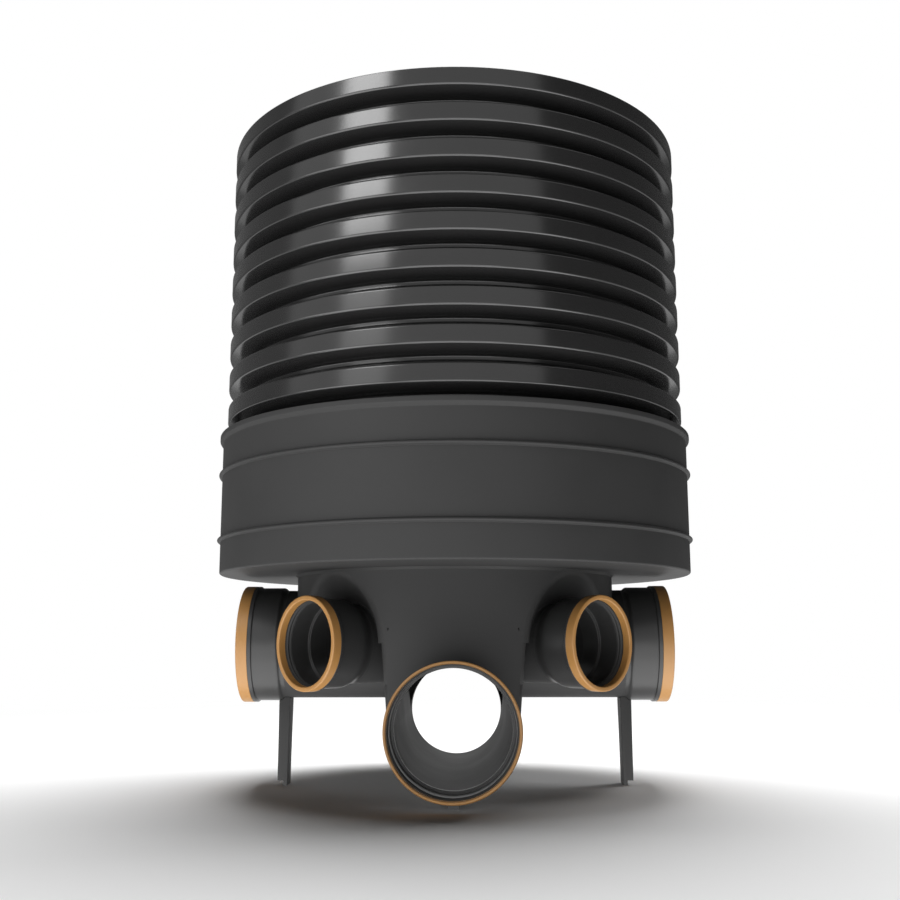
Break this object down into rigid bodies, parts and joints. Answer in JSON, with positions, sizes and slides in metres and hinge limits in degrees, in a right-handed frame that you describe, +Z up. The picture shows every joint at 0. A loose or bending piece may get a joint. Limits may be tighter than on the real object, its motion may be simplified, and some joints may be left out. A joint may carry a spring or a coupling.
{
  "type": "drain inspection chamber",
  "caption": "Plastic drain inspection chamber: moulded base with a deep through channel, side and branch pipe sockets, seals, locking rings and legs, with a corrugated riser in its collar.",
  "frame": {"origin": "on the ground at the centre of the feet, on the riser's axis", "axes": "+Z up the riser, -Y to the front inlet of the main channel, +X to the right side inlet"},
  "size_m": [0.7193, 0.7194, 0.962],
  "materials": {
    "black_pp": "moulded, semi-gloss",
    "riser_pp": "extruded, glossy",
    "ring_pp": "moulded, satin",
    "seal_rubber": "matt"
  },
  "bodies": {
    "root": {"chamber_body": "black_pp", "riser_socket": "black_pp", "riser_pipe": "riser_pp", "riser_seal": "seal_rubber", "socket_front": "black_pp", "lip_seal_front": "seal_rubber", "lock_ring_front": "ring_pp", "socket_rear": "black_pp", "lip_seal_rear": "seal_rubber", "lock_ring_rear": "ring_pp", "socket_left": "black_pp", "lip_seal_left": "seal_rubber", "lock_ring_left": "ring_pp", "socket_right": "black_pp", "lip_seal_right": "seal_rubber", "lock_ring_right": "ring_pp", "socket_branch_left": "black_pp", "lip_seal_branch_left": "seal_rubber", "lock_ring_branch_left": "ring_pp", "socket_branch_right": "black_pp", "lip_seal_branch_right": "seal_rubber", "lock_ring_branch_right": "ring_pp", "support_leg_left": "black_pp", "support_leg_right": "black_pp"}
  },
  "joints": []
}
